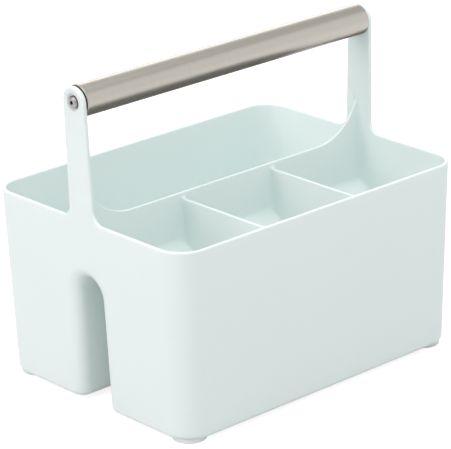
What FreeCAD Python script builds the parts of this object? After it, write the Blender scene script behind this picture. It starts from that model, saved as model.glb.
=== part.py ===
"""Divided cleaning caddy: a moulded tub with two upright posts and a turning steel grip.

Frame: X runs along the tub from post to post, Y across it, Z up. The origin is on the ground
under the centre of the tub. All lengths are in millimetres.
"""
import FreeCAD, Part
import math
import os

V = FreeCAD.Vector

# Tub: outer walls lean outward as they rise
BASE_LENGTH = 272.6        # outer length carried down to the ground
BASE_WIDTH = 205.8         # outer width carried down to the ground
RIM_HEIGHT = 148.5
END_LEAN = 0.0268          # outward lean of the end walls, mm per mm of height
SIDE_LEAN = 0.0229         # outward lean of the long walls
CORNER_RADIUS = 22.0       # upright outer corners
SIDE_WALL = 2.7
END_WALL_AT_RIM = 3.0
END_WALL_GROWTH = 0.0067   # the end walls and posts get thicker upward, mm per mm
FLOOR = 2.6
BOTTOM_ROUND = 4.2         # outer edge round the underside
CELL_FILLET = 3.0          # along the floor and up the corners by the cross walls
RIM_ROUND = 1.1            # round on both edges of the rim and the posts

# Tunnel under the tub, and the ridge and dividing wall that stand over it
TUNNEL_RADIUS = 13.2
TUNNEL_SPRING = 89.2       # height of the arch centre
TUNNEL_LEAN = 0.013        # the tunnel widens downward
TUNNEL_WALL = 2.2
MOUTH_ROUND = 10.0         # flare where the tunnel opens through each end wall
RIDGE_BLEND = 8.0          # hollow curve from the ridge up to the dividing wall
RIDGE_END_FILLET = 5.5

# Dividing walls
DIVIDER = 2.2              # thickness of the long dividing wall
DIVIDER_TOP = 144.9
SWEEP_RADIUS = 44.6        # quarter curve from the dividing wall up to each post
SWEEP_CENTRE_X = 93.55
CROSS_WALL = 2.0
CROSS_WALL_X = 44.85       # centre plane of each cross wall
CROSS_TOP = 140.5
CROSS_END_RISE = 3.0       # curve that lifts the cross wall's top into the long wall
WALL_TOP_ROUND = 0.7

# Posts and grip
AXIS_HEIGHT = 237.5        # centre line of the grip
POST_RADIUS = 11.4         # round top of each post
POST_LEAN = 0.0185         # each edge of a post leans in by this much per mm of height
POST_FLARE = 9.0           # curve from the rim up to the edge of a post
BOSS_RADIUS = 9.0
BOSS_FACE_X = 137.6        # flat face that the end plug is clamped to
RECESS_RADIUS = 6.5
RECESS_DEPTH = 1.6
SCREW_HOLE_RADIUS = 2.8

GRIP_RADIUS = 12.1
GRIP_WALL = 1.2
GRIP_END_GAP = 0.7         # from a post's inner face to the end of the tube
GRIP_END_ROUND = 0.4
TURNING_FIT = 0.05         # radial clearance of the tube on its plugs

PLUG_LENGTH = 18.0
PLUG_SKIN = 1.8
PLUG_WEB = 2.4
PLUG_HUB_RADIUS = 6.4
PLUG_RIB = 1.4
PLUG_RIBS = 6
PLUG_CHAMFER = 0.8

INSERT_RADIUS = 4.0
INSERT_FLANGE_RADIUS = 5.0
INSERT_FLANGE = 1.0
INSERT_LENGTH = 12.0
INSERT_BORE_RADIUS = 2.55
INSERT_GROOVE = 0.35       # depth of each groove
INSERT_GROOVES = 3

SCREW_RADIUS = 2.45
SCREW_LENGTH = 14.0        # under the head
SCREW_TIP_CHAMFER = 0.6
SCREW_HEAD_RADIUS = 4.7
SCREW_HEAD_HEIGHT = 2.8
SCREW_HEAD_EDGE = 0.5      # straight rim under the domed head
SCREW_CROWN_RADIUS = 3.0   # flat round the socket
SOCKET_ACROSS_FLATS = 3.0
SOCKET_DEPTH = 2.5

# Feet
FOOT_HEIGHT = 3.3          # clear height of the tub's underside above the ground
FOOT_RADIUS = 12.4
FOOT_INSET = 16.5          # from the tub's side, at the ground, to the foot's centre
FOOT_SEAT = 0.6            # depth of the seat in the underside
FOOT_SEAT_GAP = 0.1
FOOT_ROUND = 0.8

FLOOR_TOP = FOOT_HEIGHT + FLOOR
OPEN_TOP = 256.0           # height past everything, where cutting shapes end
FAR = 200.0                # distance past everything, sideways

PAST = 1.0                 # how far a cutting shape runs past a face
NEAR = 0.02                # tolerance when edges are picked by place


def half_length(z):
    """Outer half length of the tub, and of the posts above it, at height z."""
    return BASE_LENGTH / 2 + END_LEAN * z


def half_width(z):
    """Outer half width of the tub at height z."""
    return BASE_WIDTH / 2 + SIDE_LEAN * z


def inner_half_length(z):
    """Distance from the centre to the inner face of an end wall or post at height z."""
    return half_length(z) - END_WALL_AT_RIM - END_WALL_GROWTH * (z - RIM_HEIGHT)


def inner_half_width(z):
    """Distance from the centre to the inner face of a long wall at height z."""
    return half_width(z) - SIDE_WALL


def block(x0, x1, y0, y1, z0, z1):
    """Straight block between two corners."""
    return Part.makeBox(x1 - x0, y1 - y0, z1 - z0, V(x0, y0, z0))


def leaning_block(x_at, y_at, z0, z1):
    """Four-sided block centred on Z whose half sizes at a height are x_at(z) and y_at(z)."""
    x_low, y_low = x_at(z0), y_at(z0)
    x_high, y_high = x_at(z1), y_at(z1)
    wedge = Part.makeWedge(-x_low, z0, -y_low, -y_high, -x_high, x_low, z1, y_low, y_high, x_high)
    wedge.rotate(V(0, 0, 0), V(1, 0, 0), 90)
    return wedge


def picked(shape, test):
    """Edges whose every sampled point passes test(x, y, z)."""
    chosen = []
    for edge in shape.Edges:
        if edge.Length < NEAR:
            continue
        points = edge.discretize(5)
        if all(test(p.x, p.y, p.z) for p in points):
            chosen.append(edge)
    return chosen


def along_x(wire, x0, x1):
    """Solid made by running a closed wire, drawn at x = 0, from x0 to x1."""
    face = Part.Face(wire)
    face.translate(V(x0, 0, 0))
    return face.extrude(V(x1 - x0, 0, 0))


def on_circle(y, z, radius, degrees):
    """Point at an angle on a circle drawn at x = 0 round (y, z)."""
    angle = math.radians(degrees)
    return V(0, y + radius * math.cos(angle), z + radius * math.sin(angle))


def mirror_y(point):
    """Image of a point in the XZ plane."""
    return V(point.x, -point.y, point.z)


def arch_half_width(radius, spring, lean, z):
    """Half width, at height z, of the leaning sides that are tangent to an arch."""
    tilt = math.atan(lean)
    return radius / math.cos(tilt) + (spring - z) * lean


def arch_tangent(radius, spring, lean):
    """Point (y, z) where a leaning side runs into its arch."""
    tilt = math.atan(lean)
    return radius * math.cos(tilt), spring + radius * math.sin(tilt)


def arch_prism(radius, spring, lean, bottom):
    """Round-topped block along X: two leaning sides under an arch."""
    foot_y = arch_half_width(radius, spring, lean, bottom)
    side_y, side_z = arch_tangent(radius, spring, lean)
    left = V(0, -side_y, side_z)
    right = V(0, side_y, side_z)
    wire = Part.Wire([
        Part.LineSegment(V(0, -foot_y, bottom), left).toShape(),
        Part.Arc(left, V(0, 0, spring + radius), right).toShape(),
        Part.LineSegment(right, V(0, foot_y, bottom)).toShape(),
        Part.LineSegment(V(0, foot_y, bottom), V(0, -foot_y, bottom)).toShape(),
    ])
    return along_x(wire, -FAR, FAR)


def ridge_and_divider():
    """Solid of the ridge over the tunnel with the long dividing wall rising from it."""
    radius = TUNNEL_RADIUS + TUNNEL_WALL
    half = DIVIDER / 2
    foot_y = arch_half_width(radius, TUNNEL_SPRING, TUNNEL_LEAN, 0)
    side_y, side_z = arch_tangent(radius, TUNNEL_SPRING, TUNNEL_LEAN)
    blend_y = half + RIDGE_BLEND
    reach = radius + RIDGE_BLEND
    turn = math.degrees(math.acos(blend_y / reach))
    blend_z = on_circle(0, TUNNEL_SPRING, reach, turn).z
    low = V(0, foot_y, 0)
    shoulder = V(0, side_y, side_z)
    over = on_circle(0, TUNNEL_SPRING, radius, turn / 2)
    touch = on_circle(0, TUNNEL_SPRING, radius, turn)
    hollow = on_circle(blend_y, blend_z, RIDGE_BLEND, 180 + turn / 2)
    wall = V(0, half, blend_z)
    top = V(0, half, OPEN_TOP)

    def side(place):
        return [
            Part.LineSegment(place(low), place(shoulder)).toShape(),
            Part.Arc(place(shoulder), place(over), place(touch)).toShape(),
            Part.Arc(place(touch), place(hollow), place(wall)).toShape(),
            Part.LineSegment(place(wall), place(top)).toShape(),
        ]

    bridge = Part.LineSegment(mirror_y(top), top).toShape()
    ground = Part.LineSegment(low, mirror_y(low)).toShape()
    wire = Part.Wire(side(mirror_y) + [bridge] + side(V)[::-1] + [ground])
    return along_x(wire, -FAR, FAR)


def outer_body():
    """Leaning outer block with round corners, the tunnel and its flared mouths."""
    body = leaning_block(half_length, half_width, FOOT_HEIGHT, OPEN_TOP)
    upright = picked(body, lambda x, y, z: abs(x) > half_length(z) - NEAR
                     and abs(y) > half_width(z) - NEAR)
    body = body.makeFillet(CORNER_RADIUS, upright)
    body = body.cut(arch_prism(TUNNEL_RADIUS, TUNNEL_SPRING, TUNNEL_LEAN, -FOOT_HEIGHT))
    mouth = picked(body, lambda x, y, z: abs(x) > half_length(z) - NEAR
                   and abs(y) < 2 * TUNNEL_RADIUS and z < RIM_HEIGHT)
    body = body.makeFillet(MOUTH_ROUND, mouth)
    underside = picked(body, lambda x, y, z: abs(z - FOOT_HEIGHT) < NEAR)
    return body.makeFillet(BOTTOM_ROUND, underside)


def rounded(shape, radius, edges):
    """The shape with a fillet on the given edges, or the shape itself if there are none."""
    if edges:
        return shape.makeFillet(radius, edges)
    return shape


def rises(edge):
    """Whether an edge climbs, rather than lying level."""
    return edge.BoundBox.ZMax - edge.BoundBox.ZMin > 1


def compartment(core, x0, x1, side):
    """Hollow of one compartment between x0 and x1, on the side of Y given by a sign."""
    y0 = min(0, side * FAR)
    cell = core.common(block(x0, x1, y0, y0 + FAR, 0, OPEN_TOP))

    def on_end(x, z):
        return abs(x) > inner_half_length(z) - NEAR

    def on_side(y, z):
        return abs(y) > inner_half_width(z) - NEAR

    def on_cross(x):
        return min(abs(x - x0), abs(x - x1)) < NEAR

    corners = picked(cell, lambda x, y, z: on_end(x, z) and on_side(y, z))
    cell = rounded(cell, CORNER_RADIUS - SIDE_WALL, corners)
    ends = picked(cell, lambda x, y, z: on_end(x, z) and abs(y) < 2 * TUNNEL_RADIUS)
    cell = rounded(cell, RIDGE_END_FILLET, [edge for edge in ends if rises(edge)])
    cross = picked(cell, lambda x, y, z: on_cross(x))
    cell = rounded(cell, CELL_FILLET, [edge for edge in cross if rises(edge)])
    floor = picked(cell, lambda x, y, z: abs(z - FLOOR_TOP) < NEAR)
    return rounded(cell, CELL_FILLET, floor)


def post_trim():
    """Everything above the rim except the two posts with their flared feet."""
    tilt = math.degrees(math.atan(POST_LEAN))
    flare_z = RIM_HEIGHT + POST_FLARE
    edge_y = arch_half_width(POST_RADIUS, AXIS_HEIGHT, POST_LEAN, flare_z)
    flare_y = edge_y + POST_FLARE / math.cos(math.radians(tilt))
    rim = V(0, flare_y, RIM_HEIGHT)
    bend = on_circle(flare_y, flare_z, POST_FLARE, 225)
    edge = on_circle(flare_y, flare_z, POST_FLARE, 180 + tilt)
    shoulder = V(0, *arch_tangent(POST_RADIUS, AXIS_HEIGHT, POST_LEAN))
    far = V(0, FAR, RIM_HEIGHT)
    above = V(0, FAR, OPEN_TOP + PAST)

    def side(place):
        return [
            Part.LineSegment(place(above), place(far)).toShape(),
            Part.LineSegment(place(far), place(rim)).toShape(),
            Part.Arc(place(rim), place(bend), place(edge)).toShape(),
            Part.LineSegment(place(edge), place(shoulder)).toShape(),
        ]

    crown = on_circle(0, AXIS_HEIGHT, POST_RADIUS, 90)
    arch = Part.Arc(mirror_y(shoulder), crown, shoulder).toShape()
    lid = Part.LineSegment(above, mirror_y(above)).toShape()
    wire = Part.Wire(side(mirror_y) + [arch] + side(V)[::-1] + [lid])
    return along_x(wire, -FAR, FAR)


def divider_trim():
    """Space above the long dividing wall and its two sweeps, between the posts."""
    centre_z = DIVIDER_TOP + SWEEP_RADIUS
    low = V(0, SWEEP_CENTRE_X, DIVIDER_TOP)
    bend = on_circle(SWEEP_CENTRE_X, centre_z, SWEEP_RADIUS, -45)
    end = on_circle(SWEEP_CENTRE_X, centre_z, SWEEP_RADIUS, 0)
    past = V(0, FAR, centre_z)
    top = V(0, FAR, OPEN_TOP + PAST)

    def side(place):
        return [
            Part.Arc(place(low), place(bend), place(end)).toShape(),
            Part.LineSegment(place(end), place(past)).toShape(),
            Part.LineSegment(place(past), place(top)).toShape(),
        ]

    bottom = Part.LineSegment(mirror_y(low), low).toShape()
    lid = Part.LineSegment(top, mirror_y(top)).toShape()
    wire = Part.Wire(side(mirror_y)[::-1] + [bottom] + side(V) + [lid])
    half = RIDGE_END_FILLET + DIVIDER
    trim = along_x(wire, -half, half)
    trim.rotate(V(0, 0, 0), V(0, 0, 1), -90)
    return trim


def cross_trim(core):
    """Space above the two cross walls, in front of the long dividing wall."""
    reach = CROSS_WALL_X + CROSS_WALL + CELL_FILLET
    wall_y = -DIVIDER / 2
    rise_y = wall_y - CROSS_END_RISE
    rise_z = CROSS_TOP + CROSS_END_RISE
    low = V(0, -FAR, CROSS_TOP)
    start = on_circle(rise_y, rise_z, CROSS_END_RISE, -90)
    bend = on_circle(rise_y, rise_z, CROSS_END_RISE, -45)
    end = on_circle(rise_y, rise_z, CROSS_END_RISE, 0)
    top = V(0, wall_y, OPEN_TOP + PAST)
    above = V(0, -FAR, OPEN_TOP + PAST)
    wire = Part.Wire([
        Part.LineSegment(low, start).toShape(),
        Part.Arc(start, bend, end).toShape(),
        Part.LineSegment(end, top).toShape(),
        Part.LineSegment(top, above).toShape(),
        Part.LineSegment(above, low).toShape(),
    ])
    return along_x(wire, -reach, reach).common(core)


def x_cylinder(radius, x0, x1):
    """Cylinder on the grip's axis from x0 to x1."""
    return Part.makeCylinder(radius, x1 - x0, V(x0, 0, AXIS_HEIGHT), V(1, 0, 0))


def mirrored(shape, side):
    """The shape itself for side 1, or its image in the YZ plane for side -1."""
    if side > 0:
        return shape
    return shape.mirror(V(0, 0, 0), V(1, 0, 0))


def foot_centres():
    """Name and centre (x, y) of each foot."""
    x = BASE_LENGTH / 2 - FOOT_INSET
    y = BASE_WIDTH / 2 - FOOT_INSET
    return {
        "foot_front_left": (-x, -y),
        "foot_front_right": (x, -y),
        "foot_back_left": (-x, y),
        "foot_back_right": (x, y),
    }


def rim_edges(body):
    """Edges of the rim and of the posts, on their outer and their inner side."""
    def on_wall_face(x, z):
        return min(abs(abs(x) - half_length(z)), abs(abs(x) - inner_half_length(z))) < NEAR

    def wanted(x, y, z):
        level = abs(z - RIM_HEIGHT) < NEAR
        clear_of_sweep = abs(y) > RIDGE_END_FILLET + DIVIDER or z > AXIS_HEIGHT
        return z > RIM_HEIGHT - NEAR and (level or on_wall_face(x, z)) and clear_of_sweep

    return picked(body, wanted)


def cross_top_edges(body):
    """Long top edges of the two cross walls."""
    def wanted(x, y, z):
        over_wall = abs(z - CROSS_TOP) < NEAR and abs(x) < CROSS_WALL_X + CROSS_WALL
        return over_wall and abs(x) > CROSS_WALL_X - CROSS_WALL

    return [edge for edge in picked(body, wanted) if edge.Length > CORNER_RADIUS]


def fitted_to_grip(body):
    """The tub with a boss, a screw hole and a screw recess in each post."""
    for side in (-1, 1):
        inner_face = inner_half_length(AXIS_HEIGHT)
        outer_face = half_length(AXIS_HEIGHT)
        boss = x_cylinder(BOSS_RADIUS, BOSS_FACE_X, inner_face + PAST)
        body = body.fuse(mirrored(boss, side))
        hole = x_cylinder(SCREW_HOLE_RADIUS, BOSS_FACE_X - PAST, outer_face + PAST)
        body = body.cut(mirrored(hole, side))
        recess = x_cylinder(RECESS_RADIUS, outer_face - RECESS_DEPTH, outer_face + PAST)
        body = body.cut(mirrored(recess, side))
    return body


def tub():
    """Moulded tub: four compartments, the tunnel, the dividing walls and the two posts."""
    core = leaning_block(inner_half_length, inner_half_width, FLOOR_TOP, OPEN_TOP + PAST)
    hollow = core.cut(ridge_and_divider())
    face = CROSS_WALL_X + CROSS_WALL / 2
    near = CROSS_WALL_X - CROSS_WALL / 2
    body = outer_body()
    for x0, x1, side in ((-FAR, FAR, 1), (-FAR, -face, -1), (-near, near, -1), (face, FAR, -1)):
        body = body.cut(compartment(hollow, x0, x1, side))
    body = body.cut(divider_trim().common(core))
    body = body.cut(cross_trim(core))
    body = body.cut(post_trim()).removeSplitter()
    body = body.makeFillet(RIM_ROUND, rim_edges(body))
    body = body.makeFillet(WALL_TOP_ROUND, cross_top_edges(body))
    body = fitted_to_grip(body)
    for x, y in foot_centres().values():
        low = V(x, y, FOOT_HEIGHT - PAST)
        body = body.cut(Part.makeCylinder(FOOT_RADIUS + FOOT_SEAT_GAP, FOOT_SEAT + PAST, low))
    return body


def grip_tube():
    """Steel tube between the posts, with its four end edges eased."""
    end = inner_half_length(AXIS_HEIGHT) - GRIP_END_GAP
    tube = x_cylinder(GRIP_RADIUS, -end, end).cut(x_cylinder(GRIP_RADIUS - GRIP_WALL, -FAR, FAR))
    rims = picked(tube, lambda x, y, z: abs(x) > end - NEAR)
    return tube.makeFillet(GRIP_END_ROUND, rims)


def end_plug(side):
    """Ribbed plastic plug inside one end of the tube, which the tube turns on."""
    radius = GRIP_RADIUS - GRIP_WALL - TURNING_FIT
    inner = BOSS_FACE_X - PLUG_LENGTH
    plug = x_cylinder(radius, inner, BOSS_FACE_X)
    rims = picked(plug, lambda x, y, z: abs(x - inner) < NEAR)
    plug = plug.makeChamfer(PLUG_CHAMFER, rims)
    core = x_cylinder(radius - PLUG_SKIN, inner - PAST, BOSS_FACE_X - PLUG_WEB)
    core = core.cut(x_cylinder(PLUG_HUB_RADIUS, inner - PAST, BOSS_FACE_X))
    for i in range(PLUG_RIBS):
        rib = block(inner - PAST, BOSS_FACE_X, 0, radius, -PLUG_RIB / 2, PLUG_RIB / 2)
        rib.rotate(V(0, 0, 0), V(1, 0, 0), i * 360 / PLUG_RIBS)
        rib.translate(V(0, 0, AXIS_HEIGHT))
        core = core.cut(rib)
    plug = plug.cut(core)
    outer = BOSS_FACE_X + PAST
    plug = plug.cut(x_cylinder(INSERT_RADIUS, BOSS_FACE_X - INSERT_LENGTH, outer))
    plug = plug.cut(x_cylinder(INSERT_FLANGE_RADIUS, BOSS_FACE_X - INSERT_FLANGE, outer))
    return mirrored(plug, side)


def threaded_insert(side):
    """Flanged brass insert in a plug's hub, with grooves that hold it in the plastic."""
    inner = BOSS_FACE_X - INSERT_LENGTH
    body = x_cylinder(INSERT_RADIUS, inner, BOSS_FACE_X)
    body = body.fuse(x_cylinder(INSERT_FLANGE_RADIUS, BOSS_FACE_X - INSERT_FLANGE, BOSS_FACE_X))
    body = body.cut(x_cylinder(INSERT_BORE_RADIUS, inner - PAST, BOSS_FACE_X + PAST))
    for i in range(INSERT_GROOVES):
        x = inner + (i + 1) * INSERT_LENGTH / (INSERT_GROOVES + 2)
        groove = x_cylinder(INSERT_RADIUS + PAST, x, x + INSERT_FLANGE)
        groove = groove.cut(x_cylinder(INSERT_RADIUS - INSERT_GROOVE, x, x + INSERT_FLANGE))
        body = body.cut(groove)
    return mirrored(body, side)


def handle_screw(side):
    """Button-head socket screw that clamps a plug to its post."""
    seat = half_length(AXIS_HEIGHT) - RECESS_DEPTH
    edge = seat + SCREW_HEAD_EDGE
    top = seat + SCREW_HEAD_HEIGHT
    bow = math.radians(45)
    drop = SCREW_HEAD_HEIGHT - SCREW_HEAD_EDGE
    spread = SCREW_HEAD_RADIUS - SCREW_CROWN_RADIUS
    middle = V(edge + drop * math.sin(bow), SCREW_CROWN_RADIUS + spread * math.cos(bow), 0)
    tip = seat - SCREW_LENGTH
    points = [
        V(edge, SCREW_HEAD_RADIUS, 0),
        V(seat, SCREW_HEAD_RADIUS, 0),
        V(seat, SCREW_RADIUS, 0),
        V(tip + SCREW_TIP_CHAMFER, SCREW_RADIUS, 0),
        V(tip, SCREW_RADIUS - SCREW_TIP_CHAMFER, 0),
        V(tip, 0, 0),
        V(top, 0, 0),
        V(top, SCREW_CROWN_RADIUS, 0),
    ]
    edges = [Part.LineSegment(a, b).toShape() for a, b in zip(points, points[1:])]
    edges.append(Part.Arc(points[-1], middle, points[0]).toShape())
    body = Part.Face(Part.Wire(edges)).revolve(V(0, 0, 0), V(1, 0, 0), 360)
    corner = SOCKET_ACROSS_FLATS / math.sqrt(3)
    ring = [V(0, corner * math.cos(math.radians(60 * i)), corner * math.sin(math.radians(60 * i)))
            for i in range(7)]
    socket = Part.Face(Part.makePolygon(ring))
    socket.translate(V(top - SOCKET_DEPTH, 0, 0))
    body = body.cut(socket.extrude(V(SOCKET_DEPTH + PAST, 0, 0)))
    body.translate(V(0, 0, AXIS_HEIGHT))
    return mirrored(body, side)


def foot(x, y):
    """Round non-slip pad in its seat under one corner of the tub."""
    pad = Part.makeCylinder(FOOT_RADIUS, FOOT_HEIGHT + FOOT_SEAT, V(x, y, 0))
    rim = picked(pad, lambda px, py, pz: abs(pz) < NEAR)
    return pad.makeFillet(FOOT_ROUND, rim)


def parts():
    """Every sub-part by name."""
    shapes = {"tub": tub(), "grip_tube": grip_tube()}
    for word, side in (("left", -1), ("right", 1)):
        shapes[word + "_end_plug"] = end_plug(side)
        shapes[word + "_threaded_insert"] = threaded_insert(side)
        shapes[word + "_handle_screw"] = handle_screw(side)
    for name, (x, y) in foot_centres().items():
        shapes[name] = foot(x, y)
    return shapes


def main():
    """Write one STEP file per sub-part."""
    os.makedirs("parts", exist_ok=True)
    for name, shape in parts().items():
        solids = shape.Solids
        solid = solids[0] if len(solids) == 1 else Part.makeCompound(solids)
        if not solid.isValid():
            raise ValueError(name + " is not a valid solid")
        solid.exportStep("parts/" + name + ".step")
        print(name, len(solids), "solid,", round(solid.Volume), "mm3")


if __name__ == "__main__":
    main()
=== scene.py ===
"""Looks of the divided cleaning caddy: mint moulded tub, brushed steel grip, screws, plugs and pads."""

import logging
import math
from collections.abc import Sequence
from dataclasses import dataclass
from enum import Enum

import bmesh
import bpy
from mathutils import Matrix, Vector


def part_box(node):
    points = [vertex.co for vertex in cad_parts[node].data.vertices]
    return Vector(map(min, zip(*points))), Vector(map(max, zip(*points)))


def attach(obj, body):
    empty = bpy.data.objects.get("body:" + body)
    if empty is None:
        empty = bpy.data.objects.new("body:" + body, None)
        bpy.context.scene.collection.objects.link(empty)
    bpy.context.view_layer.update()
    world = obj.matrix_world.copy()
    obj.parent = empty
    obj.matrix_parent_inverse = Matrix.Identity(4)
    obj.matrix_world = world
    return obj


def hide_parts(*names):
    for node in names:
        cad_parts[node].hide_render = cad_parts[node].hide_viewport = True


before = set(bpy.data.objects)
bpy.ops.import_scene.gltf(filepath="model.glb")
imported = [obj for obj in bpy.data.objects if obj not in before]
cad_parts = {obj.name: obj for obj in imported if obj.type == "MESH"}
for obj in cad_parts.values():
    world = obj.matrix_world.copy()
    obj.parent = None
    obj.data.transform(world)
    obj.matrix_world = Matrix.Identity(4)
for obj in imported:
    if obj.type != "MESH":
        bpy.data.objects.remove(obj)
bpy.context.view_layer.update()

MM = 0.001
FULL_TURN = math.tau
WELD = 0.0001 * MM         # points nearer than this are one
SAME_RADIUS = 0.001 * MM   # radii nearer than this are equal
TURNED_SHARP = 35.0        # degrees at which an edge of a turned piece stays crisp

Colour = tuple[float, float, float]

log = logging.getLogger("caddy")


class Side(Enum):
    """One end of the caddy: the value is the sign of X there."""

    LEFT = -1
    RIGHT = 1

    @property
    def word(self) -> str:
        """Lower-case name, as the CAD nodes use it."""
        return self.name.lower()


class Body(Enum):
    """The rigid bodies of the frame that pieces ride on."""

    CADDY = "caddy"
    GRIP = "grip"


class Slot(Enum):
    """Names of the record's material slots; no piece in this script takes its finish through them."""

    MINT = "mint_plastic"
    STEEL = "brushed_steel"
    SCREW = "screw_steel"
    FOOT = "foot_rubber"


# ---------------------------------------------------------------- shader helpers


class Graph:
    """A node tree with short calls for adding nodes and wiring them."""

    def __init__(self, tree: bpy.types.NodeTree) -> None:
        """Wrap a tree.

        Args:
            tree: The node tree of a material, a world or a group.
        """
        self.tree = tree

    def node(self, kind: str, **settings: object) -> bpy.types.Node:
        """Add a node.

        Args:
            kind: Blender's type name for the node.
            settings: Attributes to set on it, or input values when the name is an input's.

        Returns:
            The new node.
        """
        made = self.tree.nodes.new(kind)
        for name, value in settings.items():
            if hasattr(made, name):
                setattr(made, name, value)
            else:
                made.inputs[name.replace("_", " ")].default_value = value
        return made

    def wire(self, source: bpy.types.NodeSocket, target: bpy.types.NodeSocket) -> None:
        """Join an output to an input."""
        self.tree.links.new(source, target)

    def maths(self, operation: str, *values: bpy.types.NodeSocket | float) -> bpy.types.NodeSocket:
        """Add a Math node.

        Args:
            operation: The Math node's operation.
            values: Its inputs in order, each a socket to wire or a number to set.

        Returns:
            The node's output.
        """
        made = self.node("ShaderNodeMath", operation=operation)
        for socket, value in zip(made.inputs, values):
            if isinstance(value, (int, float)):
                socket.default_value = value
            else:
                self.wire(value, socket)
        return made.outputs[0]

    def spread(self, source: bpy.types.NodeSocket, low: float, high: float) -> bpy.types.NodeSocket:
        """Map a 0 to 1 value onto low to high.

        Args:
            source: The value.
            low: Result at 0.
            high: Result at 1.

        Returns:
            The mapped value.
        """
        made = self.node("ShaderNodeMapRange")
        made.inputs["To Min"].default_value = low
        made.inputs["To Max"].default_value = high
        self.wire(source, made.inputs["Value"])
        return made.outputs["Result"]


def group_tree(name: str, inputs: dict[str, float], outputs: Sequence[str]) -> tuple[Graph, dict, dict]:
    """Start a shader node group with float inputs, a vector input and float outputs.

    Args:
        name: The group's name.
        inputs: Float inputs with their defaults.
        outputs: Names of the float outputs.

    Returns:
        The group's graph, its input sockets by name and its output sockets by name.
    """
    tree = bpy.data.node_groups.new(name, "ShaderNodeTree")
    tree.interface.new_socket(name="Vector", in_out="INPUT", socket_type="NodeSocketVector")
    for label, value in inputs.items():
        socket = tree.interface.new_socket(name=label, in_out="INPUT", socket_type="NodeSocketFloat")
        socket.default_value = value
    for label in outputs:
        tree.interface.new_socket(name=label, in_out="OUTPUT", socket_type="NodeSocketFloat")
    graph = Graph(tree)
    ins = graph.node("NodeGroupInput").outputs
    outs = graph.node("NodeGroupOutput").inputs
    return graph, {s.name: s for s in ins}, {s.name: s for s in outs}


def mould_grain_group() -> bpy.types.NodeTree:
    """Fine satin texture of a moulded surface.

    Returns:
        A group with a Height output, 0 to 1, fine at Grain per metre.
    """
    pebble_size, fine_share, pebble_share = 0.6, 0.6, 0.5
    graph, ins, outs = group_tree("mould grain", {"Grain": 1800.0}, ("Height",))
    fine = graph.node("ShaderNodeTexNoise", Detail=4.0, Roughness=0.6)
    graph.wire(ins["Vector"], fine.inputs["Vector"])
    graph.wire(ins["Grain"], fine.inputs["Scale"])
    pebble = graph.node("ShaderNodeTexVoronoi", feature="SMOOTH_F1")
    graph.wire(ins["Vector"], pebble.inputs["Vector"])
    graph.wire(graph.maths("MULTIPLY", ins["Grain"], pebble_size), pebble.inputs["Scale"])
    mixed = graph.maths("ADD", graph.maths("MULTIPLY", fine.outputs["Fac"], fine_share),
                        graph.maths("MULTIPLY", pebble.outputs["Distance"], pebble_share))
    graph.wire(mixed, outs["Height"])
    return graph.tree


def handling_group() -> bpy.types.NodeTree:
    """Broad soft patches left by handling and by the plastic's flow in the mould.

    Returns:
        A group with a Smudge output, and a Drift output that changes more slowly, both 0 to 1.
    """
    drift_size = 0.3
    graph, ins, outs = group_tree("handling", {"Patch": 18.0}, ("Smudge", "Drift"))
    smudge = graph.node("ShaderNodeTexNoise", Detail=6.0, Roughness=0.65, Distortion=0.8)
    graph.wire(ins["Vector"], smudge.inputs["Vector"])
    graph.wire(ins["Patch"], smudge.inputs["Scale"])
    drift = graph.node("ShaderNodeTexNoise", Detail=2.0)
    graph.wire(ins["Vector"], drift.inputs["Vector"])
    graph.wire(graph.maths("MULTIPLY", ins["Patch"], drift_size), drift.inputs["Scale"])
    graph.wire(smudge.outputs["Fac"], outs["Smudge"])
    graph.wire(drift.outputs["Fac"], outs["Drift"])
    return graph.tree


def brushed_group() -> bpy.types.NodeTree:
    """Brush or turning lines that run round the X axis.

    Returns:
        A group with a Lines output and a Streak output, both 0 to 1, with Pitch lines per metre.
    """
    streak_size = 0.12
    graph, ins, outs = group_tree("brush lines", {"Pitch": 5200.0, "Run": 26.0}, ("Lines", "Streak"))
    stretch = graph.node("ShaderNodeCombineXYZ")
    graph.wire(ins["Pitch"], stretch.inputs["X"])
    graph.wire(ins["Run"], stretch.inputs["Y"])
    graph.wire(ins["Run"], stretch.inputs["Z"])
    scaled = graph.node("ShaderNodeVectorMath", operation="MULTIPLY")
    graph.wire(ins["Vector"], scaled.inputs[0])
    graph.wire(stretch.outputs["Vector"], scaled.inputs[1])
    lines = graph.node("ShaderNodeTexNoise", Scale=1.0, Detail=5.0, Roughness=0.7)
    graph.wire(scaled.outputs["Vector"], lines.inputs["Vector"])
    broad = graph.node("ShaderNodeVectorMath", operation="SCALE")
    broad.inputs["Scale"].default_value = streak_size
    graph.wire(scaled.outputs["Vector"], broad.inputs[0])
    streak = graph.node("ShaderNodeTexNoise", Scale=1.0, Detail=3.0)
    graph.wire(broad.outputs["Vector"], streak.inputs["Vector"])
    graph.wire(lines.outputs["Fac"], outs["Lines"])
    graph.wire(streak.outputs["Fac"], outs["Streak"])
    return graph.tree


class EffectGroups:
    """The shader node groups that more than one finish uses, each built once."""

    def __init__(self) -> None:
        """Build the groups."""
        self.mould_grain = mould_grain_group()
        self.handling = handling_group()
        self.brushed = brushed_group()


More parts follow.
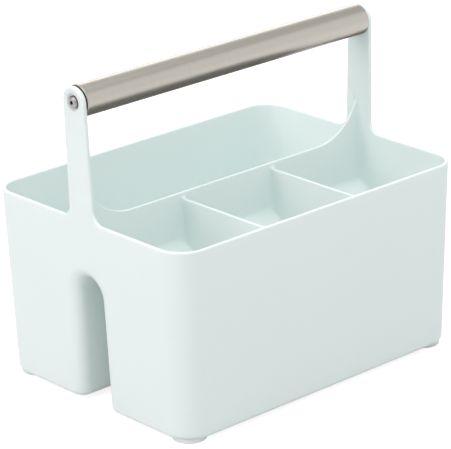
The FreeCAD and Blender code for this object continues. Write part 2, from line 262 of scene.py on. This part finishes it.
class Surface:
    """A material under construction, with its Principled shader and object coordinates."""

    def __init__(self, name: str, groups: EffectGroups) -> None:
        """Start a material.

        Args:
            name: The material's name.
            groups: The shared effect groups.
        """
        self.material = bpy.data.materials.new(name)
        self.material.use_nodes = True
        self.material.node_tree.nodes.clear()
        self.graph = Graph(self.material.node_tree)
        self.groups = groups
        self.shader = self.graph.node("ShaderNodeBsdfPrincipled")
        output = self.graph.node("ShaderNodeOutputMaterial")
        self.graph.wire(self.shader.outputs["BSDF"], output.inputs["Surface"])
        self.place = self.graph.node("ShaderNodeTexCoord").outputs["Object"]

    def effect(self, tree: bpy.types.NodeTree, **values: float) -> bpy.types.Node:
        """Place a shared group in this material.

        Args:
            tree: The group.
            values: Its input values.

        Returns:
            The group node, already fed with object coordinates.
        """
        made = self.graph.node("ShaderNodeGroup")
        made.node_tree = tree
        for label, value in values.items():
            made.inputs[label].default_value = value
        self.graph.wire(self.place, made.inputs["Vector"])
        return made

    def set(self, **values: object) -> None:
        """Set constants on the shader's own sockets, by name with _ for a space."""
        for label, value in values.items():
            self.shader.inputs[label.replace("_", " ")].default_value = value

    def tint(self, base: Colour, other: Colour, share: bpy.types.NodeSocket) -> None:
        """Let the base colour drift between two colours.

        Args:
            base: Colour where share is 0.
            other: Colour where share is 1.
            share: The mask.
        """
        mix = self.graph.node("ShaderNodeMix", data_type="RGBA")
        mix.inputs["A"].default_value = (*base, 1.0)
        mix.inputs["B"].default_value = (*other, 1.0)
        self.graph.wire(share, mix.inputs["Factor"])
        self.graph.wire(mix.outputs["Result"], self.shader.inputs["Base Color"])

    def paint_shade_in_mirrors(self, shade: Colour) -> None:
        """Paint shade into reflections: swap the base colour for a darker one where it is seen in other
        surfaces' gloss.

        Args:
            shade: The painted shade colour seen there.
        """
        base = self.shader.inputs["Base Color"]
        mix = self.graph.node("ShaderNodeMix", data_type="RGBA")
        self.graph.wire(base.links[0].from_socket, mix.inputs["A"])
        mix.inputs["B"].default_value = (*shade, 1.0)
        self.graph.wire(self.graph.node("ShaderNodeLightPath").outputs["Is Glossy Ray"], mix.inputs["Factor"])
        self.graph.wire(mix.outputs["Result"], base)

    def roughness(self, share: bpy.types.NodeSocket, low: float, high: float) -> None:
        """Let the roughness run from low to high with a mask."""
        self.graph.wire(self.graph.spread(share, low, high), self.shader.inputs["Roughness"])

    def bump(self, height: bpy.types.NodeSocket, strength: float, depth: float) -> None:
        """Raise the surface by a height mask.

        Args:
            height: The mask, 0 to 1.
            strength: Share of the full effect.
            depth: Height in metres that 1 stands for.
        """
        made = self.graph.node("ShaderNodeBump", Strength=strength, Distance=depth)
        self.graph.wire(height, made.inputs["Height"])
        self.graph.wire(made.outputs["Normal"], self.shader.inputs["Normal"])


# ---------------------------------------------------------------- finishes


@dataclass(frozen=True)
class MouldedPlastic:
    """Satin moulded plastic with a fine grain."""

    name: str
    colour: Colour
    shade: Colour
    rough_low: float = 0.40
    rough_high: float = 0.52
    grain: float = 1800.0
    depth: float = 0.03 * MM
    depth_share: float = 0.35
    glow_weight: float = 0.0
    glow_reach: float = 5.0 * MM
    # painted shade: a darker colour that the plastic shows only in other surfaces' gloss
    painted_mirror_shade: Colour | None = None
    refraction: float = 1.49

    def build(self, groups: EffectGroups) -> bpy.types.Material:
        """Make the material.

        Args:
            groups: The shared effect groups.

        Returns:
            The material.
        """
        surface = Surface(self.name, groups)
        handling = surface.effect(groups.handling)
        grain = surface.effect(groups.mould_grain, Grain=self.grain)
        surface.tint(self.colour, self.shade, handling.outputs["Drift"])
        surface.roughness(handling.outputs["Smudge"], self.rough_low, self.rough_high)
        surface.bump(grain.outputs["Height"], self.depth_share, self.depth)
        surface.set(IOR=self.refraction)
        if self.glow_weight:
            surface.set(Subsurface_Weight=self.glow_weight, Subsurface_Radius=(1.0, 1.0, 1.0),
                        Subsurface_Scale=self.glow_reach)
        # painted shade in reflections, so that the steel mirrors the plastic darker
        if self.painted_mirror_shade:
            surface.paint_shade_in_mirrors(self.painted_mirror_shade)
        return surface.material


@dataclass(frozen=True)
class BrushedMetal:
    """Metal with brush or turning lines round the X axis."""

    name: str
    colour: Colour
    shade: Colour
    rough_low: float
    rough_high: float
    pitch: float
    depth: float
    depth_share: float = 0.5
    patch: float = 30.0
    smudge_share: float = 0.3

    def build(self, groups: EffectGroups) -> bpy.types.Material:
        """Make the material.

        Args:
            groups: The shared effect groups.

        Returns:
            The material.
        """
        surface = Surface(self.name, groups)
        lines = surface.effect(groups.brushed, Pitch=self.pitch)
        handling = surface.effect(groups.handling, Patch=self.patch)
        surface.tint(self.colour, self.shade, lines.outputs["Streak"])
        mixed = surface.graph.maths(
            "ADD",
            surface.graph.maths("MULTIPLY", lines.outputs["Lines"], 1.0 - self.smudge_share),
            surface.graph.maths("MULTIPLY", handling.outputs["Smudge"], self.smudge_share),
        )
        surface.roughness(mixed, self.rough_low, self.rough_high)
        surface.bump(lines.outputs["Lines"], self.depth_share, self.depth)
        surface.set(Metallic=1.0)
        return surface.material


# MINT has a painted shade in reflections: darker where seen in the steel, for the tube's dark underside
MINT = MouldedPlastic("mint satin plastic", (0.805, 0.930, 0.908), (0.792, 0.922, 0.899),
                      glow_weight=0.35, painted_mirror_shade=(0.18, 0.17, 0.155))
PAD = MouldedPlastic("pale pad rubber", (0.85, 0.925, 0.91), (0.82, 0.90, 0.885),
                     rough_low=0.62, rough_high=0.78, grain=2600.0, depth_share=0.5,
                     glow_weight=0.35, glow_reach=3.0 * MM)
NYLON = MouldedPlastic("dark plug nylon", (0.028, 0.028, 0.030), (0.022, 0.022, 0.024),
                       rough_low=0.45, rough_high=0.6, grain=2400.0)
STEEL = BrushedMetal("brushed steel", (0.52, 0.485, 0.425), (0.465, 0.435, 0.375),
                     rough_low=0.30, rough_high=0.42, pitch=5200.0, depth=0.004 * MM)
SCREW_STEEL = BrushedMetal("turned screw steel", (0.35, 0.36, 0.345), (0.29, 0.30, 0.29),
                           rough_low=0.28, rough_high=0.42, pitch=9000.0, depth=0.006 * MM)
# painted shade: near-black material for the inside of the screw's socket, standing in for the hole's shade
SOCKET_PAINTED_SHADE = MouldedPlastic("painted socket shade", (0.008, 0.008, 0.008), (0.005, 0.005, 0.005),
                              rough_low=0.7, rough_high=0.85)
BRASS = BrushedMetal("turned brass", (0.72, 0.53, 0.24), (0.66, 0.47, 0.20),
                     rough_low=0.22, rough_high=0.36, pitch=8000.0, depth=0.006 * MM)


# ---------------------------------------------------------------- mesh helpers


def dress(piece: bpy.types.Object, material: bpy.types.Material) -> None:
    """Give a piece one material in one slot."""
    piece.data.materials.clear()
    piece.data.materials.append(material)


def piece_from(bm: bmesh.types.BMesh, name: str, body: Body,
               material: bpy.types.Material, sharp_degrees: float = 40.0) -> bpy.types.Object:
    """Turn a bmesh into a smooth-shaded piece that rides on a body.

    Args:
        bm: The mesh, in metres in the row frame. It is freed.
        name: The piece's name.
        body: The body that it moves with.
        material: Its finish.
        sharp_degrees: Edges that turn more than this stay crisp.

    Returns:
        The new object.
    """
    mesh = bpy.data.meshes.new(name)
    bm.to_mesh(mesh)
    bm.free()
    mesh.shade_smooth()
    mesh.set_sharp_from_angle(angle=math.radians(sharp_degrees))
    piece = bpy.data.objects.new(name, mesh)
    bpy.context.scene.collection.objects.link(piece)
    mesh.materials.append(material)
    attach(piece, body.value)
    return piece


def weigh_normals(piece: bpy.types.Object) -> None:
    """Let big faces rule the shading at their borders, so that fillets run out cleanly.

    Args:
        piece: The piece. It gets a live modifier.
    """
    modifier = piece.modifiers.new("weighted normals", "WEIGHTED_NORMAL")
    modifier.keep_sharp = True
    modifier.weight = 100


def spun(profile: Sequence[tuple[float, float]], steps: int, closed: bool) -> bmesh.types.BMesh:
    """Turn a profile of (distance along X, radius) points all the way round the X axis.

    Args:
        profile: The points in order. The first and last are on the axis unless closed.
        steps: Number of faces round.
        closed: Whether the last point joins the first.

    Returns:
        A closed mesh with its faces outward.
    """
    bm = bmesh.new()
    points = [bm.verts.new((x, 0.0, r)) for x, r in profile]
    edges = [bm.edges.new(pair) for pair in zip(points, points[1:])]
    if closed:
        edges.append(bm.edges.new((points[-1], points[0])))
    bmesh.ops.spin(bm, geom=points + edges, cent=(0, 0, 0), axis=(1, 0, 0), dvec=(0, 0, 0),
                   angle=FULL_TURN, steps=steps, use_merge=True)
    bmesh.ops.remove_doubles(bm, verts=bm.verts, dist=WELD)
    bmesh.ops.recalc_face_normals(bm, faces=bm.faces)
    return bm


def arc(centre: tuple[float, float], radius: float, start: float, end: float,
        steps: int) -> list[tuple[float, float]]:
    """Points on an arc of a profile.

    Args:
        centre: Its centre.
        radius: Its radius.
        start: Angle of the first point in degrees.
        end: Angle of the last point in degrees.
        steps: Number of spans.

    Returns:
        The points, ends included.
    """
    angles = [math.radians(start + (end - start) * i / steps) for i in range(steps + 1)]
    return [(centre[0] + radius * math.cos(a), centre[1] + radius * math.sin(a)) for a in angles]


# ---------------------------------------------------------------- sub-assemblies


@dataclass
class MouldedTub:
    """The moulded tub with its posts, dividing walls and tunnel."""

    weld: float = 0.002 * MM
    sharp_degrees: float = 32.0
    wall_round: float = 0.6 * MM
    wall_top: float = 144.9 * MM
    wall_reach: float = 7.0 * MM
    wall_turn: float = 64.0

    def build(self, material: bpy.types.Material) -> bpy.types.Object:
        """Make the visible tub from a welded copy of the frame's, with clean shading.

        Args:
            material: The plastic.

        Returns:
            The tub.
        """
        bm = bmesh.new()
        bm.from_mesh(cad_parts["tub"].data)
        bmesh.ops.remove_doubles(bm, verts=bm.verts, dist=self.weld)
        bmesh.ops.dissolve_degenerate(bm, dist=self.weld, edges=bm.edges)
        bmesh.ops.bevel(bm, geom=self.wall_edges(bm), offset=self.wall_round, segments=3,
                        profile=0.5, affect="EDGES", clamp_overlap=True, material=-1)
        piece = piece_from(bm, "moulded_tub", Body.CADDY, material, self.sharp_degrees)
        weigh_normals(piece)
        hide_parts("tub")
        return piece

    def wall_edges(self, bm: bmesh.types.BMesh) -> list[bmesh.types.BMEdge]:
        """Crisp edges along the top of the long dividing wall and its two sweeps.

        Args:
            bm: The tub's mesh.

        Returns:
            The edges.
        """
        def on_wall(point: Vector) -> bool:
            """Whether a point is at the wall's top or above, near its middle plane."""
            return point.z > self.wall_top - MM and abs(point.y) < self.wall_reach

        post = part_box("grip_tube")[0].z - self.wall_reach
        return [e for e in bm.edges if len(e.link_faces) == 2
                and e.calc_face_angle() > math.radians(self.wall_turn)
                and all(on_wall(v.co) and v.co.z < post for v in e.verts)]


@dataclass
class SteelGrip:
    """The steel tube between the posts, which turns on its plugs."""

    wall: float = 1.2 * MM
    end_round: float = 0.4 * MM
    steps: int = 160

    def build(self, material: bpy.types.Material) -> bpy.types.Object:
        """Spin the tube's wall round its axis and ease the four end edges.

        Args:
            material: The steel.

        Returns:
            The tube.
        """
        low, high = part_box("grip_tube")
        radius = (high.z - low.z) / 2
        inner = radius - self.wall
        bm = spun([(low.x, radius), (high.x, radius), (high.x, inner), (low.x, inner)],
                  self.steps, closed=True)
        rims = [e for e in bm.edges if abs(e.verts[0].co.x - e.verts[1].co.x) < self.weld_reach]
        rims = [e for e in rims if self.runs_round(e)]
        bmesh.ops.bevel(bm, geom=rims, offset=self.end_round, segments=4, profile=0.5,
                        affect="EDGES", material=-1)
        bmesh.ops.translate(bm, verts=bm.verts, vec=(0, 0, (low.z + high.z) / 2))
        piece = piece_from(bm, "steel_grip", Body.GRIP, material)
        weigh_normals(piece)
        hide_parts("grip_tube")
        return piece

    @property
    def weld_reach(self) -> float:
        """Difference in X under which two points are at the same place along the tube."""
        return self.end_round / 4

    @staticmethod
    def runs_round(edge: bmesh.types.BMEdge) -> bool:
        """Whether an edge keeps its distance from the axis, as a rim does."""
        radii = [math.hypot(v.co.y, v.co.z) for v in edge.verts]
        return abs(radii[0] - radii[1]) < SAME_RADIUS


@dataclass
class ButtonScrew:
    """A button-head screw with a hexagon socket."""

    side: Side
    socket_flats: float = 3.0 * MM
    socket_depth: float = 2.5 * MM
    socket_lip: float = 0.12 * MM
    crown_radius: float = 3.0 * MM
    head_height: float = 2.8 * MM
    head_edge: float = 0.5 * MM
    shank_radius: float = 2.45 * MM
    thread_depth: float = 0.4 * MM
    thread_pitch: float = 0.8 * MM
    thread_crest: float = 0.4
    cone_tip: float = 0.04
    cone_depth: float = 0.15
    ring: int = 48
    dome_steps: int = 8

    def build(self, material: bpy.types.Material, shade: bpy.types.Material) -> bpy.types.Object:
        """Model the screw pointing up Z, then lay it along X with its head outward.

        Args:
            material: The screw's steel.
            shade: The near-black material inside the socket, a painted shade for the hole.

        Returns:
            The screw.
        """
        node = f"{self.side.word}_handle_screw"
        low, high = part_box(node)
        head_radius = (high.y - low.y) / 2
        length = high.x - low.x
        bm = bmesh.new()
        crown = self.socket(bm)
        self.outside(bm, crown, head_radius, length)
        bmesh.ops.remove_doubles(bm, verts=bm.verts, dist=WELD)
        bmesh.ops.recalc_face_normals(bm, faces=bm.faces)
        top = high.x if self.side is Side.RIGHT else low.x
        turn = Matrix.Rotation(math.radians(90 * self.side.value), 4, "Y")
        place = Matrix.Translation((top, 0, (low.z + high.z) / 2))
        bmesh.ops.transform(bm, matrix=place @ turn, verts=bm.verts)
        piece = piece_from(bm, f"{self.side.word}_button_screw", Body.CADDY,
                           material, TURNED_SHARP)
        # second slot: the painted shade inside the socket
        piece.data.materials.append(shade)
        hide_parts(node)
        return piece

    def socket(self, bm: bmesh.types.BMesh) -> list[bmesh.types.BMEdge]:
        """Model the socket and the flat crown round it, at z = 0.

        Args:
            bm: The mesh to add to.

        Returns:
            The crown's outer ring of edges.
        """
        corner = self.socket_flats / math.sqrt(3)
        hexagon = bmesh.ops.create_circle(bm, segments=6, radius=corner + self.socket_lip)["verts"]
        mouth = list({e for v in hexagon for e in v.link_edges})
        bmesh.ops.subdivide_edges(bm, edges=mouth, cuts=self.ring // 6 - 1)
        mouth = list(bm.edges)
        circle = bmesh.ops.create_circle(bm, segments=self.ring, radius=self.crown_radius)["verts"]
        crown = list({e for v in circle for e in v.link_edges})
        bmesh.ops.bridge_loops(bm, edges=mouth + crown)
        inside = self.grow(bm, mouth, corner / (corner + self.socket_lip), -self.socket_lip)
        outside = set(bm.faces)
        inside = self.grow(bm, inside, 1.0, self.socket_lip - self.socket_depth)
        floor = self.grow(bm, inside, self.cone_tip, -self.cone_depth * self.socket_depth)
        bmesh.ops.holes_fill(bm, edges=floor)
        # the socket's inner faces take the second slot, the painted shade
        for face in set(bm.faces) - outside:
            face.material_index = 1
        return crown

    def outside(self, bm: bmesh.types.BMesh, crown: list[bmesh.types.BMEdge],
                head_radius: float, length: float) -> None:
        """Extrude the dome, the head's edge, the threaded shank and its tip from the crown.

        Args:
            bm: The mesh to add to.
            crown: The crown's ring of edges.
            head_radius: Radius of the head.
            length: Length of the whole screw.
        """
        ring = crown
        radius = self.crown_radius
        level = 0.0
        drop = self.head_height - self.head_edge
        reach = head_radius - self.crown_radius
        rings = []
        for i in range(1, self.dome_steps + 1):
            angle = math.radians(90 * i / self.dome_steps)
            rings.append((self.crown_radius + reach * math.sin(angle), -drop * (1 - math.cos(angle))))
        rings.append((head_radius, -self.head_height))
        rings.append((self.shank_radius, -self.head_height))
        turns = int((length - self.head_height) / self.thread_pitch) - 1
        for i in range(1, turns + 1):
            start = -self.head_height - i * self.thread_pitch
            rings.append((self.shank_radius, start + self.thread_crest * self.thread_pitch))
            rings.append((self.shank_radius - self.thread_depth, start))
        rings.append((self.shank_radius - self.thread_depth, -length))
        for new_radius, new_level in rings:
            ring = self.grow(bm, ring, new_radius / radius, new_level - level)
            radius, level = new_radius, new_level
        bmesh.ops.holes_fill(bm, edges=ring)

    @staticmethod
    def grow(bm: bmesh.types.BMesh, ring: Sequence[bmesh.types.BMEdge], scale: float,
             rise: float) -> list[bmesh.types.BMEdge]:
        """Extrude a ring of edges, scaled about Z and moved along it.

        Args:
            bm: The mesh.
            ring: The ring.
            scale: Factor on its radius.
            rise: Distance along Z.

        Returns:
            The new ring.
        """
        made = bmesh.ops.extrude_edge_only(bm, edges=list(ring))["geom"]
        verts = [g for g in made if isinstance(g, bmesh.types.BMVert)]
        bmesh.ops.scale(bm, vec=(scale, scale, 1.0), verts=verts)
        bmesh.ops.translate(bm, vec=(0, 0, rise), verts=verts)
        return [g for g in made if isinstance(g, bmesh.types.BMEdge)]


@dataclass
class RestPad:
    """A round pad under one corner, with a shallow dish that leaves a ring to stand on."""

    corner: str
    dish: float = 0.7 * MM
    ring_width: float = 2.6 * MM
    dish_slope: float = 0.8 * MM
    edge_round: float = 0.6 * MM
    edge_steps: int = 5
    steps: int = 72

    def build(self, material: bpy.types.Material) -> bpy.types.Object:
        """Spin the pad's section and stand it in its seat.

        Args:
            material: The pad's rubber.

        Returns:
            The pad.
        """
        node = f"foot_{self.corner}"
        low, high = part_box(node)
        radius = (high.x - low.x) / 2
        height = high.z - low.z
        inner = radius - self.edge_round - self.ring_width
        under = arc((self.edge_round, radius - self.edge_round), self.edge_round, 180, 90,
                    self.edge_steps)
        section = [(self.dish, 0.0), (self.dish, inner - self.dish_slope), (0.0, inner)]
        section += [*under, (height, radius), (height, 0.0)]
        bm = spun(section, self.steps, closed=False)
        turn = Matrix.Rotation(math.radians(-90), 4, "Y")
        place = Matrix.Translation(((low.x + high.x) / 2, (low.y + high.y) / 2, low.z))
        bmesh.ops.transform(bm, matrix=place @ turn, verts=bm.verts)
        bmesh.ops.recalc_face_normals(bm, faces=bm.faces)
        piece = piece_from(bm, f"rest_pad_{self.corner}", Body.CADDY, material, TURNED_SHARP)
        weigh_normals(piece)
        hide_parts(node)
        return piece


@dataclass
class HiddenFittings:
    """The plug and the threaded insert inside one end of the tube, kept as the frame has them."""

    side: Side

    def dress(self, nylon: bpy.types.Material, brass: bpy.types.Material) -> list[bpy.types.Object]:
        """Give both nodes their finishes.

        Args:
            nylon: Finish of the plug.
            brass: Finish of the insert.

        Returns:
            The two nodes.
        """
        plug, insert = (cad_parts[f"{self.side.word}_{part}"]
                        for part in ("end_plug", "threaded_insert"))
        dress(plug, nylon)
        dress(insert, brass)
        return [plug, insert]


# ---------------------------------------------------------------- studio


@dataclass(frozen=True)
class Viewpoint:
    """The camera's place, given by angles round a point that it is aimed near."""

    azimuth: float = 41.59
    elevation: float = 20.63
    roll: float = -1.72
    distance: float = 2.0437
    aim_height: float = 0.0891
    aim_right: float = -0.00214
    aim_up: float = 0.01684
    lens: float = 216.64
    sensor: float = 36.0

    def build(self) -> bpy.types.Object:
        """Make the camera and give it to the scene.

        Returns:
            The camera.
        """
        turn, rise, roll = (math.radians(a) for a in (self.azimuth, self.elevation, self.roll))
        ahead = Vector((math.sin(turn) * math.cos(rise), math.cos(turn) * math.cos(rise), -math.sin(rise)))
        right = Vector((math.cos(turn), -math.sin(turn), 0.0))
        up = right.cross(ahead)
        place = Vector((0, 0, self.aim_height)) + self.aim_right * right + self.aim_up * up
        place -= self.distance * ahead
        across = math.cos(roll) * right + math.sin(roll) * up
        upward = math.cos(roll) * up - math.sin(roll) * right
        data = bpy.data.cameras.new("view")
        data.lens = self.lens
        data.sensor_width = self.sensor
        camera = bpy.data.objects.new("view", data)
        facing = Matrix((across, upward, -ahead)).transposed().to_4x4()
        camera.matrix_world = Matrix.Translation(place) @ facing
        bpy.context.scene.collection.objects.link(camera)
        bpy.context.scene.camera = camera
        return camera


@dataclass(frozen=True)
class Softbox:
    """A rectangular soft light aimed at the caddy."""

    name: str
    place: tuple[float, float, float]
    width: float
    height: float
    watts: float
    aim: tuple[float, float, float] = (0.0, 0.0, 0.12)
    colour: Colour = (1.0, 1.0, 1.0)

    def build(self) -> bpy.types.Object:
        """Make the light.

        Returns:
            The light.
        """
        data = bpy.data.lights.new(self.name, "AREA")
        data.shape = "RECTANGLE"
        data.size = self.width
        data.size_y = self.height
        data.energy = self.watts
        data.color = self.colour
        light = bpy.data.objects.new(self.name, data)
        toward = Vector(self.aim) - Vector(self.place)
        facing = toward.to_track_quat("-Z", "Y").to_matrix().to_4x4()
        light.matrix_world = Matrix.Translation(self.place) @ facing
        bpy.context.scene.collection.objects.link(light)
        return light


@dataclass
class Studio:
    """Pale floor, even sky and soft lights."""

    sky: float = 0.43
    sky_seen: float = 1.05
    sky_colour: Colour = (1.0, 1.0, 1.0)
    floor_half: float = 6.0
    floor_cells: int = 8
    floor_colour: Colour = (0.50, 0.50, 0.50)
    floor_roughness: float = 0.9
    floor_glow: float = 0.80
    floor_mirror_glow: float = 0.50
    gamma: float = 1.25
    lights: tuple[Softbox, ...] = (
        Softbox("left key", (-3.3, 0.9, 1.7), 2.2, 2.2, 52.0, colour=(1.0, 0.91, 0.92)),
        Softbox("overhead", (-0.3, -0.2, 3.0), 2.6, 2.6, 56.0),
        Softbox("front high", (-1.2, -2.3, 3.0), 2.2, 2.2, 22.0),
        Softbox("right fill", (1.75, -1.9, 1.15), 2.6, 2.2, 10.0),
        Softbox("back edge", (1.9, 2.1, 1.3), 1.6, 1.0, 14.0),
    )

    def build(self, groups: EffectGroups) -> None:
        """Make the floor, the sky and the lights, and set how light becomes colour.

        Args:
            groups: The shared effect groups.
        """
        self.floor(groups)
        world = bpy.data.worlds.new("even sky")
        world.use_nodes = True
        background = world.node_tree.nodes["Background"]
        background.inputs["Color"].default_value = (*self.sky_colour, 1.0)
        graph = Graph(world.node_tree)
        seen = graph.node("ShaderNodeLightPath").outputs["Is Camera Ray"]
        graph.wire(graph.spread(seen, self.sky, self.sky_seen), background.inputs["Strength"])
        bpy.context.scene.world = world
        for light in self.lights:
            light.build()
        bpy.context.scene.view_settings.view_transform = "Standard"
        bpy.context.scene.view_settings.gamma = self.gamma

    def floor(self, groups: EffectGroups) -> bpy.types.Object:
        """Make the floor that the caddy stands on.

        Args:
            groups: The shared effect groups.

        Returns:
            The floor.
        """
        bm = bmesh.new()
        bmesh.ops.create_grid(bm, x_segments=self.floor_cells, y_segments=self.floor_cells,
                              size=self.floor_half)
        mesh = bpy.data.meshes.new("floor")
        bm.to_mesh(mesh)
        bm.free()
        floor = bpy.data.objects.new("floor", mesh)
        surface = Surface("pale floor", groups)
        surface.set(Base_Color=(*self.floor_colour, 1.0), Roughness=self.floor_roughness,
                    Emission_Color=(1.0, 1.0, 1.0, 1.0))
        graph = surface.graph
        path = graph.node("ShaderNodeLightPath").outputs
        glow = graph.maths(
            "ADD",
            graph.maths("MULTIPLY", path["Is Camera Ray"], self.floor_glow),
            graph.maths("MULTIPLY", path["Is Glossy Ray"], self.floor_mirror_glow),
        )
        graph.wire(glow, surface.shader.inputs["Emission Strength"])
        from_below = graph.node("ShaderNodeNewGeometry").outputs["Backfacing"]
        graph.wire(graph.spread(from_below, 1.0, 0.0), surface.shader.inputs["Alpha"])
        dress(floor, surface.material)
        bpy.context.scene.collection.objects.link(floor)
        return floor


# ---------------------------------------------------------------- assembly


def report(pieces: Sequence[bpy.types.Object]) -> None:
    """Log each piece's name and face count."""
    for piece in pieces:
        log.info("%s: %d faces", piece.name, len(piece.data.polygons))


def main() -> None:
    """Build every piece in order and report it."""
    logging.basicConfig(level=logging.INFO, format="%(name)s: %(message)s")
    groups = EffectGroups()
    mint, pad, nylon, steel, screw_steel, socket_painted_shade, brass = (
        finish.build(groups) for finish in (MINT, PAD, NYLON, STEEL, SCREW_STEEL, SOCKET_PAINTED_SHADE, BRASS)
    )
    Viewpoint().build()
    report([MouldedTub().build(mint)])
    report([SteelGrip().build(steel)])
    for side in Side:
        report([ButtonScrew(side).build(screw_steel, socket_painted_shade)])
        report(HiddenFittings(side).dress(nylon, brass))
    for corner in ("front_left", "front_right", "back_left", "back_right"):
        report([RestPad(corner).build(pad)])
    Studio().build(groups)


if __name__ == "__main__":
    main()
